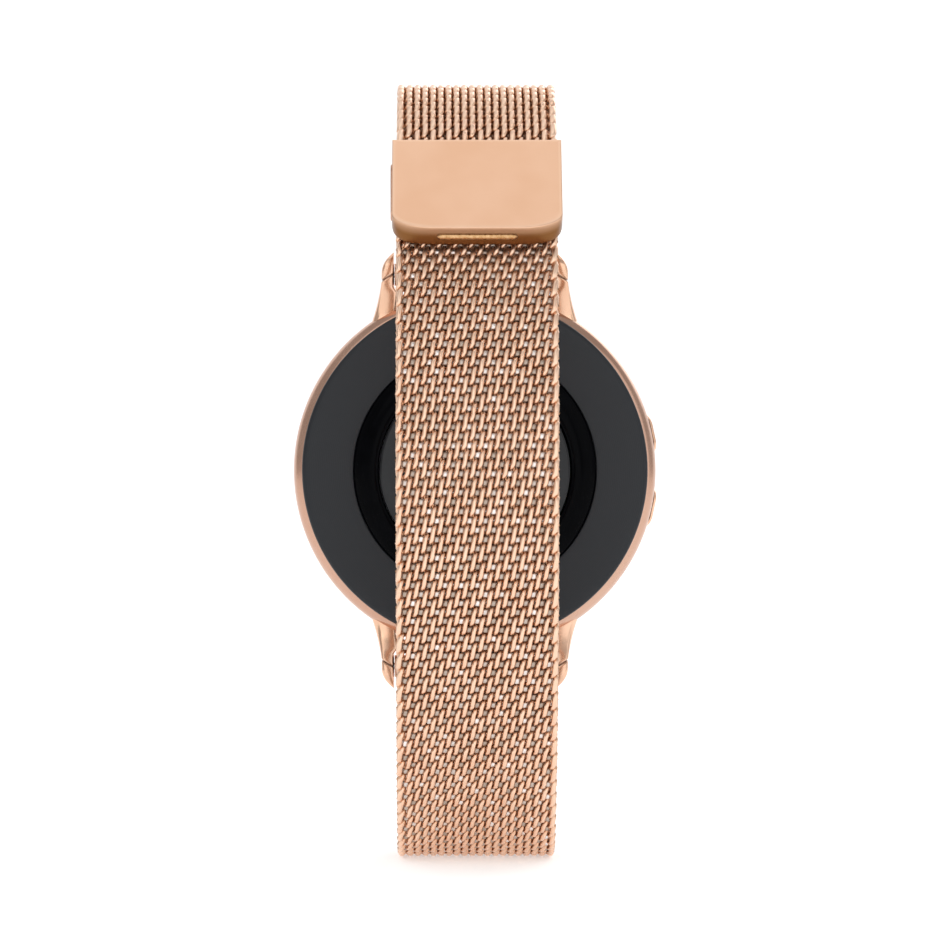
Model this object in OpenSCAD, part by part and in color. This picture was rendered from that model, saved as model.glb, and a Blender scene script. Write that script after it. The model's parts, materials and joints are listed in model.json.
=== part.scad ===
// Round smartwatch on a two-piece woven steel band, closed into its oval loop.
// It stands on the lowest point of the loop. X runs across the band, Y from the
// clasp (negative) to the display glass (positive), and Z is up.
// Side outlines are drawn as [depth, height]: depth counts from the band's front
// face towards the glass, and height from the middle of the loop.

/* [Loop] */
// Depth of the closed watch, from the band's front face to the glass
loop_depth = 58.5; // [54:0.5:72]
// Radius of the band's long front curve
front_r = 55; // [48:0.5:66]
// Radius of the band where it leaves the front curve
shoulder_r = 42; // [36:0.5:50]
// Outer radius of the band's two end bends
end_r = 20; // [18:0.25:24]
// Angle from the front at which the shoulder curve starts
front_angle = 34; // [28:1:40]
// Angle from the front at which the end bend starts
shoulder_angle = 54.5; // [48:0.5:62]

/* [Band] */
// Width of the woven mesh
mesh_w = 18.1; // [16:0.1:19]
// Thickness of the woven mesh
mesh_t = 1.6; // [1.2:0.1:1.8]
// Air between the two layers of mesh
layer_gap = 0.2; // [0.1:0.05:0.5]
// Space left between two parts of the mesh where it bends
bend_gap = 0.3; // [0.2:0.05:0.6]
// Angle behind the end bend's centre at which the mesh folds round the ring
fold_angle = 35; // [25:1:45]
// Width of the tube at the end of each strap
link_w = 19.4; // [17:0.1:19.6]
// Outer radius of those end tubes
link_r = 1.35; // [1.2:0.05:1.6]

/* [Ring] */
// Radius of the ring's two bars
ring_bar_r = 0.7; // [0.5:0.05:0.9]
// Distance between the ring's two bars
ring_pitch = 4.6; // [4.2:0.1:6.5]
// How far the lower bar stands towards the wrist
ring_offset = 1.5; // [0.5:0.1:2]
// Clearance between the ring's upper bar and the folded mesh
fold_clear = 0.25; // [0.15:0.05:0.4]
// Thickness of the ring's side plates
ring_side_t = 0.8; // [0.6:0.1:1.2]

/* [Clasp] */
// Width of the magnetic clasp
clasp_w = 19.2; // [18:0.1:23]
// Length of the clasp's base, along the band
clasp_l = 14; // [12:0.5:18]
// Height of the clasp over the band
clasp_h = 2.45; // [2.3:0.05:3.2]
// Angle from the front at which the clasp's base lies on the band
clasp_angle = 40; // [34:1:46]
// Thickness of the clasp's metal walls
clasp_wall = 0.45; // [0.35:0.05:0.6]
// Thickness of the clasp's base plate
base_t = 0.3; // [0.2:0.05:0.4]
// Length of the sloping face at the clasp's free end
bevel_l = 1.5; // [1:0.1:2.5]
// Length of the finger bar
finger_l = 8.7; // [6:0.1:12]

/* [Case] */
// Diameter of the case
case_d = 44; // [40:0.5:53]
// Thickness of the case, from the sensor dome to the glass
case_t = 10.9; // [10.4:0.1:13]
// Thickness of the case's wall
case_wall = 2; // [1.7:0.1:2.5]
// Height of the sensor dome over the rear cover
dome_h = 1.2; // [0.8:0.1:1.5]
// Thickness of the rear cover
cover_t = 0.8; // [0.6:0.1:1.1]
// Thickness of the cover glass
glass_t = 1.5; // [1:0.1:2]
// Outer radius of the sensor ring
sensor_r = 14.6; // [13:0.1:16]
// Radius of the sensor window
window_r = 11.6; // [9:0.1:12]

/* [Lugs] */
// Clear width between the lugs
lug_gap = 20; // [20:0.1:22]
// Thickness of each lug
lug_t = 1.5; // [1.2:0.1:2.2]
// Distance of the spring bar from the case's edge
bar_reach = 1.7; // [1.6:0.05:3]
// Distance of the spring bar behind the glass
bar_back = 7.5; // [7:0.1:8]
// Radius of the lugs' tips
lug_tip_r = 1.9; // [1.5:0.1:2.4]
// Radius of the spring bar's tube
bar_r = 0.75; // [0.65:0.05:0.9]
// Radius of the spring bar's pins
pin_r = 0.4; // [0.3:0.05:0.45]
// Depth of the pin holes in the lugs
pin_depth = 0.9; // [0.5:0.1:1.1]

/* [Buttons] */
// Angle of each button from the middle of the case's side
button_angle = 12; // [11:0.5:20]
// Length of a button
button_l = 4.6; // [4:0.1:6.5]
// Width of a button
button_w = 2.3; // [1.8:0.1:2.6]
// How far a button stands out of the case
button_out = 0.5; // [0.45:0.05:1.2]
// How far a button travels when it is pressed
button_travel = 0.4; // [0.2:0.05:0.45]
// Radius of a button's stem
stem_r = 0.8; // [0.6:0.05:0.9]

/* [Inside] */
// Length of the battery
battery_l = 26; // [20:0.5:27]
// Width of the battery
battery_w = 20; // [14:0.5:21]
// Thickness of the battery
battery_t = 2.8; // [2:0.1:2.9]
// Thickness of the main board
board_t = 0.6; // [0.5:0.1:0.8]
// Radius of the vibration motor
motor_r = 2.8; // [2:0.1:3]

/* [Hidden] */

$fn = 72;
rose_gold = [0.90, 0.70, 0.58];
dark_steel = [0.35, 0.36, 0.38];
eps = 0.01;
run_gap = 0.05;      // radial clearance of a pin or shaft that turns

// The band's outline: three arcs down each half, mirrored about the middle.
front_c = [front_r, 0];
shoulder_c = front_c + (front_r - shoulder_r) * [-cos(front_angle), sin(front_angle)];
end_c = shoulder_c + (shoulder_r - end_r) * [-cos(shoulder_angle), sin(shoulder_angle)];
half_h = end_c[1] + end_r;

// Above the middle the main layer runs under the tail, one thickness further in.
inner_end_r = end_r - mesh_t - layer_gap;
under_angle = 2 * atan((end_c[0] - inner_end_r) / end_c[1]);
under_r = inner_end_r + end_c[1] / sin(under_angle);
under_c = [under_r, 0];

// Places of the pivots.
case_r = case_d / 2;
bar_depth = loop_depth - bar_back;
bar_height = case_r + bar_reach;
upper_bar = [bar_depth, bar_height];
lower_bar = [bar_depth, -bar_height];
fold_r = ring_bar_r + fold_clear;
fold_mid_r = end_r - mesh_t - layer_gap / 2;
fold_c = polar(end_c, fold_mid_r, fold_angle);
to_bar = (fold_c - upper_bar) / norm(fold_c - upper_bar);
ring_lower = fold_c - to_bar * sqrt(pow(ring_pitch, 2) - pow(ring_offset, 2))
    + ring_offset * [-to_bar[1], to_bar[0]];

// The case's own height axis starts at the top of the sensor dome.
case_back = loop_depth - case_t;
bar_z = bar_depth - case_back;
cover_z = dome_h;
body_z = cover_z + cover_t + 0.2;
glass_z = case_t - glass_t;
seat_z = glass_z - 0.2;
rim_z = case_t - 1;
ledge_t = 0.8;
ledge_r = case_r - case_wall - 1;
button_z = (body_z + seat_z) / 2 + 0.2;
bracket_z = seat_z - 1.6;
board_z = bracket_z - 0.1 - board_t;
boss_r = case_r - case_wall - 1.1;
boss_out_r = 1.2;
boss_hole_r = 0.4;
board_r = case_r - case_wall - 2.6;
stem_end = case_r - 4.3;
clip_z = case_r - case_wall - 0.5;
ring_seat_r = window_r + 2;      // the rear cover's inner edge
coil_r0 = ring_seat_r + 0.3;
coil_r1 = coil_r0 + 4.2;
coil_z = cover_z + cover_t;
coil_t = 0.6;
shield_t = 0.3;
battery_z = coil_z + coil_t + shield_t + 0.2;

// The clasp lies on the tangent to the main layer at its own angle.
clasp_base = [under_r - under_r * cos(clasp_angle), under_r * sin(clasp_angle)];
clasp_gap = 0.1;
clasp_top = clasp_gap + clasp_h;
mouth_u = clasp_l / 2 - 0.95;
tail_u = clasp_l / 2;
foot_u = mouth_u - clasp_l;
toe_l = bevel_l + 1.9;
toe_t = 0.35;        // upright edge left below the clasp's sloping face
pocket_w0 = clasp_gap + base_t;
mesh_w0 = pocket_w0 + 0.02;
mesh_sink = 0.2;     // the tail comes in this much lower than it lies in the clasp

function polar(c, r, a) = [c[0] + r * cos(a), c[1] + r * sin(a)];
function smooth(x) = x * x * (3 - 2 * x);
function clasp_point(u, w) = clasp_base
    + u * [sin(clasp_angle), cos(clasp_angle)] + w * [-cos(clasp_angle), sin(clasp_angle)];

// A path is a list of [middle point, angle of the outward normal].
function arc_path(c, r, a0, a1, n, first = 0) =
    [for (i = [first:n]) let(a = a0 + (a1 - a0) * i / n) [polar(c, r, a), a]];
function band_outline(path, t) = concat(
    [for (s = path) polar(s[0], t / 2, s[1])],
    [for (i = [len(path) - 1:-1:0]) polar(path[i][0], -t / 2, path[i][1])]);

// Places a side outline in the frame and gives it its width along X.
module side_slab(x0, x1) {
    translate([x0, -loop_depth / 2, half_h]) rotate([90, 0, 90])
        linear_extrude(x1 - x0) children();
}

// A rod along X at a point of the side view.
module side_rod(p, r, x0, x1) {
    translate([x0, p[0] - loop_depth / 2, p[1] + half_h]) rotate([0, 90, 0])
        cylinder(r = r, h = x1 - x0);
}

module band(path, w = mesh_w, t = mesh_t) {
    side_slab(-w / 2, w / 2) polygon(band_outline(path, t));
}

// The case's axis points through the glass.
module on_case() {
    translate([0, case_back - loop_depth / 2, half_h]) rotate([-90, 0, 0]) children();
}

// u runs up the band, w away from it.
module on_clasp() {
    translate([0, clasp_base[0] - loop_depth / 2, clasp_base[1] + half_h])
        rotate([90 - clasp_angle, 0, 0]) children();
}

// Places a button's parts: their Z points out of the case.
module at_button(side) {
    on_case() rotate([0, 0, side * button_angle]) translate([0, 0, button_z])
        rotate([0, 90, 0]) children();
}

module flat_ring(r0, r1, z0, z1) {
    translate([0, 0, z0]) difference() {
        cylinder(r = r1, h = z1 - z0);
        translate([0, 0, -1]) cylinder(r = r0, h = z1 - z0 + 2);
    }
}

module disc(r, z0, z1) {
    translate([0, 0, z0]) cylinder(r = r, h = z1 - z0);
}

module block(c, size, z0, z1) {
    translate([c[0] - size[0] / 2, c[1] - size[1] / 2, z0]) cube([size[0], size[1], z1 - z0]);
}

// A bar with round ends, lying along Y, drawn in the XY plane.
module pill(l, w) {
    square([w, l - w], center = true);
    for (s = [-1, 1]) translate([0, s * (l - w) / 2]) circle(d = w);
}

// ---- Case ----

// A lug seen from the side, as [distance from the case's axis, height in the case].
module lug_outline() {
    tip = [bar_height + 0.9, bar_z + 0.1];
    edge = sqrt(pow(case_r, 2) - pow(lug_gap / 2 + lug_t, 2));
    root = edge - 1.2;
    polygon(concat(
        [[root, body_z + 0.2], [edge + 1, body_z + 0.2]],
        [for (i = [0:11]) polar(tip, lug_tip_r, -110 + i * 15)],
        [[bar_height - 0.6, bar_z + 3.4], [edge + 2, bar_z + 4.5], [edge + 0.6, seat_z - 0.5],
            [root, seat_z - 0.5]]));
}

module lug(side, end) {
    translate([side > 0 ? lug_gap / 2 : -lug_gap / 2 - lug_t, 0, 0])
        mirror([0, end > 0 ? 0 : 1, 0]) rotate([90, 0, 90]) linear_extrude(lug_t) lug_outline();
}

module case_ring() {
    rotate_extrude($fn = 144) polygon([
        [case_r - case_wall, body_z], [case_r - 1, body_z], [case_r - 0.3, body_z + 0.9],
        [case_r, body_z + 2.2], [case_r, seat_z - 1.4], [case_r - 0.3, seat_z - 0.4],
        [case_r - 0.8, rim_z], [case_r - 1.4, rim_z], [case_r - 1.4, seat_z],
        [ledge_r, seat_z], [ledge_r, seat_z - ledge_t], [case_r - case_wall, seat_z - ledge_t]]);
}

module boss_places() {
    for (a = [60, 180, 300]) rotate([0, 0, a]) translate([boss_r, 0, 0]) children();
}

module pin_holes() {
    for (s = [-1, 1]) for (e = [-1, 1])
        translate([s * (lug_gap / 2 + pin_depth / 2), e * bar_height, bar_z]) rotate([0, 90, 0])
            cylinder(r = pin_r + run_gap, h = pin_depth + eps, center = true);
}

module case_body() {
    color(rose_gold) difference() {
        union() {
            on_case() case_ring();
            on_case() for (s = [-1, 1]) for (e = [-1, 1]) lug(s, e);
            on_case() boss_places() disc(boss_out_r, bracket_z - 3, bracket_z);
        }
        on_case() disc(board_r, 0, seat_z - ledge_t);
        on_case() boss_places() disc(boss_hole_r, bracket_z - 2.4, bracket_z + 1);
        on_case() pin_holes();
        for (s = [-1, 1]) at_button(s) {
            translate([0, 0, case_r - 0.9]) linear_extrude(3) pill(button_l + 0.3, button_w + 0.3);
            translate([0, 0, case_r - 3]) cylinder(r = stem_r + run_gap, h = 3);
            translate([0, 0, case_r - case_wall - 1]) cylinder(r = stem_r + 0.45, h = 1.7);
        }
    }
}

// A plate with a thin collar that centres it in the case's wall.
module rear_cover() {
    collar_r = case_r - case_wall - 0.2;
    color(dark_steel) on_case() {
        flat_ring(ring_seat_r, case_r - 1.1, cover_z, cover_z + cover_t);
        flat_ring(collar_r - 0.5, collar_r, cover_z + cover_t, cover_z + cover_t + 1);
    }
}

module rear_gasket() {
    color("black") on_case() flat_ring(case_r - case_wall, case_r - 1.2, cover_z + cover_t, body_z);
}

// Its face falls away from the window to the rear cover.
module sensor_ring() {
    face_r = window_r + 0.4;
    neck_r = ring_seat_r - 0.1;
    color([0.03, 0.03, 0.04]) on_case() rotate_extrude($fn = 96) polygon(concat(
        [[window_r, cover_z + cover_t], [window_r, dome_h * 0.3]],
        [for (i = [0:8]) let(x = i / 8) [face_r + (sensor_r - face_r) * x, dome_h * pow(x, 2.2) * 0.95]],
        [[sensor_r, cover_z], [neck_r, cover_z], [neck_r, cover_z + cover_t]]));
}

module sensor_window() {
    color([0.2, 0.21, 0.23]) on_case() disc(window_r - 0.05, 0.15, 0.95);
}

module sensor_board() {
    color("darkgreen") on_case() disc(window_r - 0.4, cover_z + 0.3, cover_z + 1.1);
}

// Light emitters in the middle and receivers round them.
module light_sensors() {
    z0 = cover_z - 0.2;
    z1 = cover_z + 0.3;
    color([0.15, 0.4, 0.2]) on_case() {
        for (s = [-1, 1]) block([s * 1.2, 0], [1.6, 1.6], z0, z1);
        for (a = [0:45:315]) rotate([0, 0, a]) block([6.5, 0], [2, 2.6], z0, z1);
    }
}

module charging_coil() {
    color("orangered") on_case() flat_ring(coil_r0, coil_r1, coil_z, coil_z + coil_t);
}

module coil_shield() {
    color("dimgray") on_case()
        flat_ring(coil_r0, coil_r1, coil_z + coil_t, coil_z + coil_t + shield_t);
}

module battery() {
    color([0.2, 0.2, 0.22]) on_case()
        block([-battery_l / 2 + 10, 0], [battery_l, battery_w], battery_z, battery_z + battery_t);
}

module main_board() {
    color("darkgreen") on_case() difference() {
        disc(board_r, board_z, board_z + board_t);
        translate([0, -13.5, 0]) cylinder(r = 1, h = case_t);
    }
}

module chip_shields() {
    color("silver") on_case() {
        block([-6, 4], [10, 8], board_z - 0.7, board_z);
        block([-7, -5], [7, 7], board_z - 0.7, board_z);
        block([4, -4], [6, 9], board_z - 0.5, board_z);
    }
}

// A plate under the display, screwed to the case's bosses, with sunk screw seats.
screw_seat_z = bracket_z + 0.25;

module inner_bracket() {
    color("gray") on_case() difference() {
        disc(case_r - case_wall - 0.4, bracket_z, bracket_z + 0.6);
        boss_places() disc(boss_hole_r + 0.1, bracket_z - 1, bracket_z + 2);
        boss_places() disc(1, screw_seat_z, bracket_z + 2);
        translate([0, 15.6, bracket_z - 1]) linear_extrude(3) square([8, 3], center = true);
        translate([0, -10, bracket_z - 1]) linear_extrude(3) square([12, 6], center = true);
    }
}

module bracket_screws() {
    color("silver") on_case() boss_places() {
        disc(boss_hole_r, bracket_z - 2.2, screw_seat_z);
        disc(0.9, screw_seat_z, screw_seat_z + 0.3);
    }
}

module vibration_motor() {
    color("lightgray") on_case() translate([13.6, 9, 0]) disc(motor_r, battery_z, battery_z + 2.5);
}

module speaker() {
    color("black") on_case() block([0, -13.6], [8, 4.6], battery_z, battery_z + 2.6);
}

module microphone() {
    color("goldenrod") on_case() block([-7, 13.4], [3, 2], board_z - 0.9, board_z);
}

module button_switches() {
    color("silver") for (s = [-1, 1]) at_button(s) {
        translate([0, 0, stem_end - 2.3]) linear_extrude(1.4) square([1.7, 3], center = true);
        translate([0, 0, stem_end - 1]) cylinder(r = 0.5, h = 0.95 - button_travel);
    }
}

module button_seals() {
    color("black") for (s = [-1, 1]) at_button(s) translate([0, 0, case_r - case_wall + 0.3])
        rotate_extrude() translate([stem_r + 0.23, 0]) circle(r = 0.2, $fn = 24);
}

module display_panel() {
    color([0.05, 0.05, 0.08]) on_case() disc(ledge_r - 0.3, seat_z - 0.8, glass_z);
}

module display_flex() {
    color("chocolate") on_case() block([0, 15.6], [6, 1.2], board_z + board_t, seat_z - 0.8);
}

module display_gasket() {
    color("black") on_case() flat_ring(ledge_r + 0.2, case_r - 1.6, seat_z, glass_z);
}

module cover_glass() {
    r = case_r - 1.5;
    edge = 1.1;
    color([0.02, 0.02, 0.03]) on_case() rotate_extrude($fn = 144) polygon(concat(
        [[0, glass_z], [r, glass_z]],
        [for (i = [0:8]) [r - edge + edge * cos(i * 11.25), case_t - edge + edge * sin(i * 11.25)]],
        [[0, case_t]]));
}

// ---- Buttons ----

module button(side) {
    sunk = 0.45;
    step = 0.2;
    color(rose_gold) at_button(side) {
        translate([0, 0, case_r - sunk]) linear_extrude(button_out + sunk - step) pill(button_l, button_w);
        translate([0, 0, case_r + button_out - step]) linear_extrude(step)
            pill(button_l - 2 * step, button_w - 2 * step);
        translate([0, 0, stem_end]) cylinder(r = stem_r, h = case_r - stem_end - 0.4);
    }
}

module button_clip(side) {
    color("silver") at_button(side) flat_ring(stem_r, stem_r + 0.35, clip_z, clip_z + 0.3);
}

module home_button() { button(1); }
module back_button() { button(-1); }
module home_button_clip() { button_clip(1); }
module back_button_clip() { button_clip(-1); }

// ---- Strap ends ----

slot_x0 = 4.6;
slot_x1 = 7.6;
knob_w = 0.9;

// A frame on a spring bar. Its Y points along the strap's outward normal, so that the
// knob, which faces the wrist, stays clear of the strap.
module at_bar(p, turn) {
    translate([0, p[0] - loop_depth / 2, p[1] + half_h]) rotate([turn, 0, 0]) children();
}

module knob_slot(p, turn) {
    w = knob_w + 0.2;
    at_bar(p, turn) translate([slot_x0, -3, -w / 2]) cube([slot_x1 - slot_x0, 3, w]);
}

module end_link(p, turn) {
    color(rose_gold) difference() {
        side_rod(p, link_r, -link_w / 2, link_w / 2);
        side_rod(p, bar_r, -link_w, link_w);
        knob_slot(p, turn);
    }
}

module spring_bar(p, turn) {
    color("silver") difference() {
        side_rod(p, bar_r, -link_w / 2 + 0.2, link_w / 2 - 0.2);
        side_rod(p, pin_r + run_gap, -link_w, link_w);
        knob_slot(p, turn);
    }
}

module fixed_pin(p) {
    color("silver") side_rod(p, pin_r, -lug_gap / 2 - pin_depth + 0.1, -lug_gap / 2 + 3);
}

// The spring behind the sliding pin, at its pressed length: closed round coils.
module bar_spring(p) {
    coils = 9;
    wire = 0.12;
    color("silver") for (i = [0:coils - 1])
        at_bar(p, 0) translate([slot_x0 - 0.2 - i * 2.2 * wire, 0, 0]) rotate([0, 90, 0])
            rotate_extrude($fn = 24) translate([pin_r - wire, 0]) circle(r = wire, $fn = 16);
}

// The pin slides in the bar's tube, and its knob stands out on the wrist side.
module release_pin(p, turn) {
    color("silver") {
        side_rod(p, pin_r, slot_x0 + 1.3, lug_gap / 2 + pin_depth - 0.1);
        at_bar(p, turn) translate([slot_x1 - 1, -link_r, 0]) {
            translate([0, -0.5, -knob_w / 2]) cube([0.8, link_r + 0.5, knob_w]);
            translate([-0.3, -0.9, -0.8]) cube([1.4, 0.6, 1.6]);
        }
    }
}

module lower_end_link() { end_link(lower_bar, leave_angle); }
module upper_end_link() { end_link(upper_bar, strap_normal); }
module lower_spring_bar() { spring_bar(lower_bar, leave_angle); }
module upper_spring_bar() { spring_bar(upper_bar, strap_normal); }
module lower_bar_spring() { bar_spring(lower_bar); }
module upper_bar_spring() { bar_spring(upper_bar); }
module lower_fixed_pin() { fixed_pin(lower_bar); }
module upper_fixed_pin() { fixed_pin(upper_bar); }
module lower_release_pin() { release_pin(lower_bar, leave_angle); }
module upper_release_pin() { release_pin(upper_bar, strap_normal); }

// ---- Long strap ----

lower_c = [end_c[0], -end_c[1]];
mid_r = end_r - mesh_t / 2;
bar_far = norm(lower_bar - lower_c);
bar_dir = atan2(lower_bar[1] - lower_c[1], lower_bar[0] - lower_c[0]);
leave_angle = bar_dir - acos(min(1, mid_r / bar_far));
bend_half = bend_gap / 2 / mid_r * 180 / PI;

// From the bottom of the loop up the back to the lower spring bar.
back_path = concat(
    arc_path(lower_c, mid_r, 270 + bend_half, 360 + leave_angle, 22),
    [[lower_bar, leave_angle]]);

module long_strap_back() {
    color(rose_gold) difference() {
        band(back_path);
        side_rod(lower_bar, link_r, -link_w, link_w);
    }
}

// Up the front and over the top, inside the tail, to the fold.
spread_angle = 25;
spread = fold_r + mesh_t / 2 - (mesh_t + layer_gap) / 2;
function layer_r(a, side) = fold_mid_r
    + side * ((mesh_t + layer_gap) / 2 + spread * smooth(max(0, 1 - (a - fold_angle) / spread_angle)));
function layer_path(a0, a1, n, side, first = 0) =
    [for (i = [first:n]) let(a = a0 + (a1 - a0) * i / n) [polar(end_c, layer_r(a, side), a), a]];

front_path = concat(
    arc_path(lower_c, mid_r, 270 - bend_half, 180 + shoulder_angle, 12),
    arc_path([shoulder_c[0], -shoulder_c[1]], shoulder_r - mesh_t / 2,
        180 + shoulder_angle, 180 + front_angle, 8, 1),
    arc_path(front_c, front_r - mesh_t / 2, 180 + front_angle, 180, 12, 1),
    arc_path(under_c, under_r - mesh_t / 2, 180, 180 - under_angle, 20, 1),
    layer_path(180 - under_angle, 90, 12, -1, 1),
    layer_path(90, fold_angle, 18, -1, 1));

module long_strap_front() {
    color(rose_gold) band(front_path);
}

// Round the ring's bar and back over the top, outside the main layer, to the clasp.
tail_end = clasp_point(tail_u, mesh_w0 + mesh_t / 2 - mesh_sink);
tail_path = concat(
    arc_path(fold_c, fold_r + mesh_t / 2, fold_angle - 180, fold_angle, 16),
    layer_path(fold_angle, 90, 18, 1, 1),
    layer_path(90, 180 - under_angle, 12, 1, 1),
    [[tail_end + bend_gap / 2 * [sin(under_angle), cos(under_angle)], 180 - under_angle]]);

module long_strap_tail() {
    color(rose_gold) band(tail_path);
}

// ---- Short strap and ring ----

strap_dir = (ring_lower - upper_bar) / norm(ring_lower - upper_bar);
strap_normal = atan2(-strap_dir[0], strap_dir[1]);
ring_tube_r = ring_bar_r + 0.55;

module ring_link() {
    color(rose_gold) difference() {
        side_rod(ring_lower, ring_tube_r, -mesh_w / 2, mesh_w / 2);
        side_rod(ring_lower, ring_bar_r + run_gap, -mesh_w, mesh_w);
    }
}

module short_strap() {
    color(rose_gold) difference() {
        band([[ring_lower, strap_normal], [upper_bar, strap_normal]]);
        side_rod(upper_bar, link_r, -link_w, link_w);
        side_rod(ring_lower, ring_tube_r, -link_w, link_w);
    }
}

module buckle_ring() {
    x0 = mesh_w / 2 + 0.3;
    plate_w = 2.2;
    dir = fold_c - ring_lower;
    mid = (fold_c + ring_lower) / 2;
    color(rose_gold) {
        side_rod(fold_c, ring_bar_r, -x0 - ring_side_t / 2, x0 + ring_side_t / 2);
        side_rod(ring_lower, ring_bar_r, -x0 - ring_side_t / 2, x0 + ring_side_t / 2);
        for (x = [x0, -x0 - ring_side_t]) side_slab(x, x + ring_side_t)
            translate(mid) rotate(atan2(dir[1], dir[0]) - 90) pill(ring_pitch + plate_w, plate_w);
    }
}

// ---- Clasp ----

side_drop = 2.1;
flat_half = clasp_w * 0.3;

// The clasp's base outline: square at its mouth, rounded at its free end.
module clasp_outline(inset) {
    hw = clasp_w / 2 - inset;
    low = foot_u + inset;
    polygon([
        [-hw, mouth_u - inset], [-hw, low + side_drop + 1], [-hw + 0.3, low + side_drop],
        [-hw + 1.2, low + 1.1], [-hw + 2.4, low + 0.35], [-hw + 3.8, low],
        [hw - 3.8, low], [hw - 2.4, low + 0.35], [hw - 1.2, low + 1.1],
        [hw - 0.3, low + side_drop], [hw, low + side_drop + 1], [hw, mouth_u - inset]]);
}

bevel_tilt = atan2(clasp_h - toe_t, bevel_l);

// Cuts the sloping face at the free end, and one more at each corner.
module bevel_cuts() {
    for (turn = [-1, 0, 1])
        translate([turn * (flat_half + 2.2), foot_u + abs(turn) * 1.05, clasp_gap + toe_t])
            rotate([0, 0, turn * 32]) rotate([bevel_tilt, 0, 0])
                translate([-15, -3, 0]) cube([30, 9, 4]);
}

inner_half = clasp_w / 2 - clasp_wall;
inner_u = foot_u + toe_l;
inner_l = clasp_l - toe_l - clasp_wall;

module clasp_shell() {
    color(rose_gold) on_clasp() difference() {
        translate([0, 0, clasp_gap]) linear_extrude(clasp_h) clasp_outline(0);
        bevel_cuts();
        translate([-inner_half, inner_u, -1]) cube([2 * inner_half, inner_l, clasp_top - clasp_wall + 1]);
        translate([-mesh_w / 2 - 0.1, 0, pocket_w0 - 0.05])
            cube([mesh_w + 0.2, clasp_l, mesh_t + 0.1]);
    }
}

module clasp_base_plate() {
    color("silver") on_clasp() translate([-inner_half + 0.05, inner_u + 0.05, clasp_gap])
        cube([2 * inner_half - 0.1, inner_l - 0.1, base_t]);
}

module clasp_magnets() {
    l = 2.1;
    half_w = inner_half - 0.6;
    color("dimgray") on_clasp() for (i = [0:2])
        translate([-half_w, inner_u + 0.1 + i * (l + 0.15), pocket_w0]) cube([2 * half_w, l, mesh_t]);
}

module clasp_finger_bar() {
    color(rose_gold) on_clasp() translate([0, foot_u, clasp_gap + toe_t]) rotate([bevel_tilt, 0, 0])
        translate([-finger_l / 2, 0.2, 0]) cube([finger_l, 0.6, 0.3]);
}

// The end of the tail, held in the clasp.
module clasp_mesh_end() {
    inner = mouth_u - 3.4;
    stub_u = tail_u - bend_gap / 2;
    color(rose_gold) side_slab(-mesh_w / 2, mesh_w / 2) polygon([
        clasp_point(inner, mesh_w0), clasp_point(mouth_u, mesh_w0),
        clasp_point(stub_u, mesh_w0 - mesh_sink), clasp_point(stub_u, mesh_w0 - mesh_sink + mesh_t),
        clasp_point(mouth_u, mesh_w0 + mesh_t), clasp_point(inner, mesh_w0 + mesh_t)]);
}

case_body();
rear_cover();
rear_gasket();
sensor_ring();
sensor_window();
sensor_board();
light_sensors();
charging_coil();
coil_shield();
battery();
main_board();
chip_shields();
inner_bracket();
bracket_screws();
vibration_motor();
speaker();
microphone();
button_switches();
button_seals();
display_panel();
display_flex();
display_gasket();
cover_glass();
home_button();
back_button();
home_button_clip();
back_button_clip();
lower_end_link();
lower_spring_bar();
lower_bar_spring();
lower_fixed_pin();
lower_release_pin();
long_strap_back();
long_strap_front();
long_strap_tail();
upper_end_link();
upper_spring_bar();
upper_bar_spring();
upper_fixed_pin();
upper_release_pin();
short_strap();
ring_link();
buckle_ring();
clasp_mesh_end();
clasp_shell();
clasp_base_plate();
clasp_magnets();
clasp_finger_bar();
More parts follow.
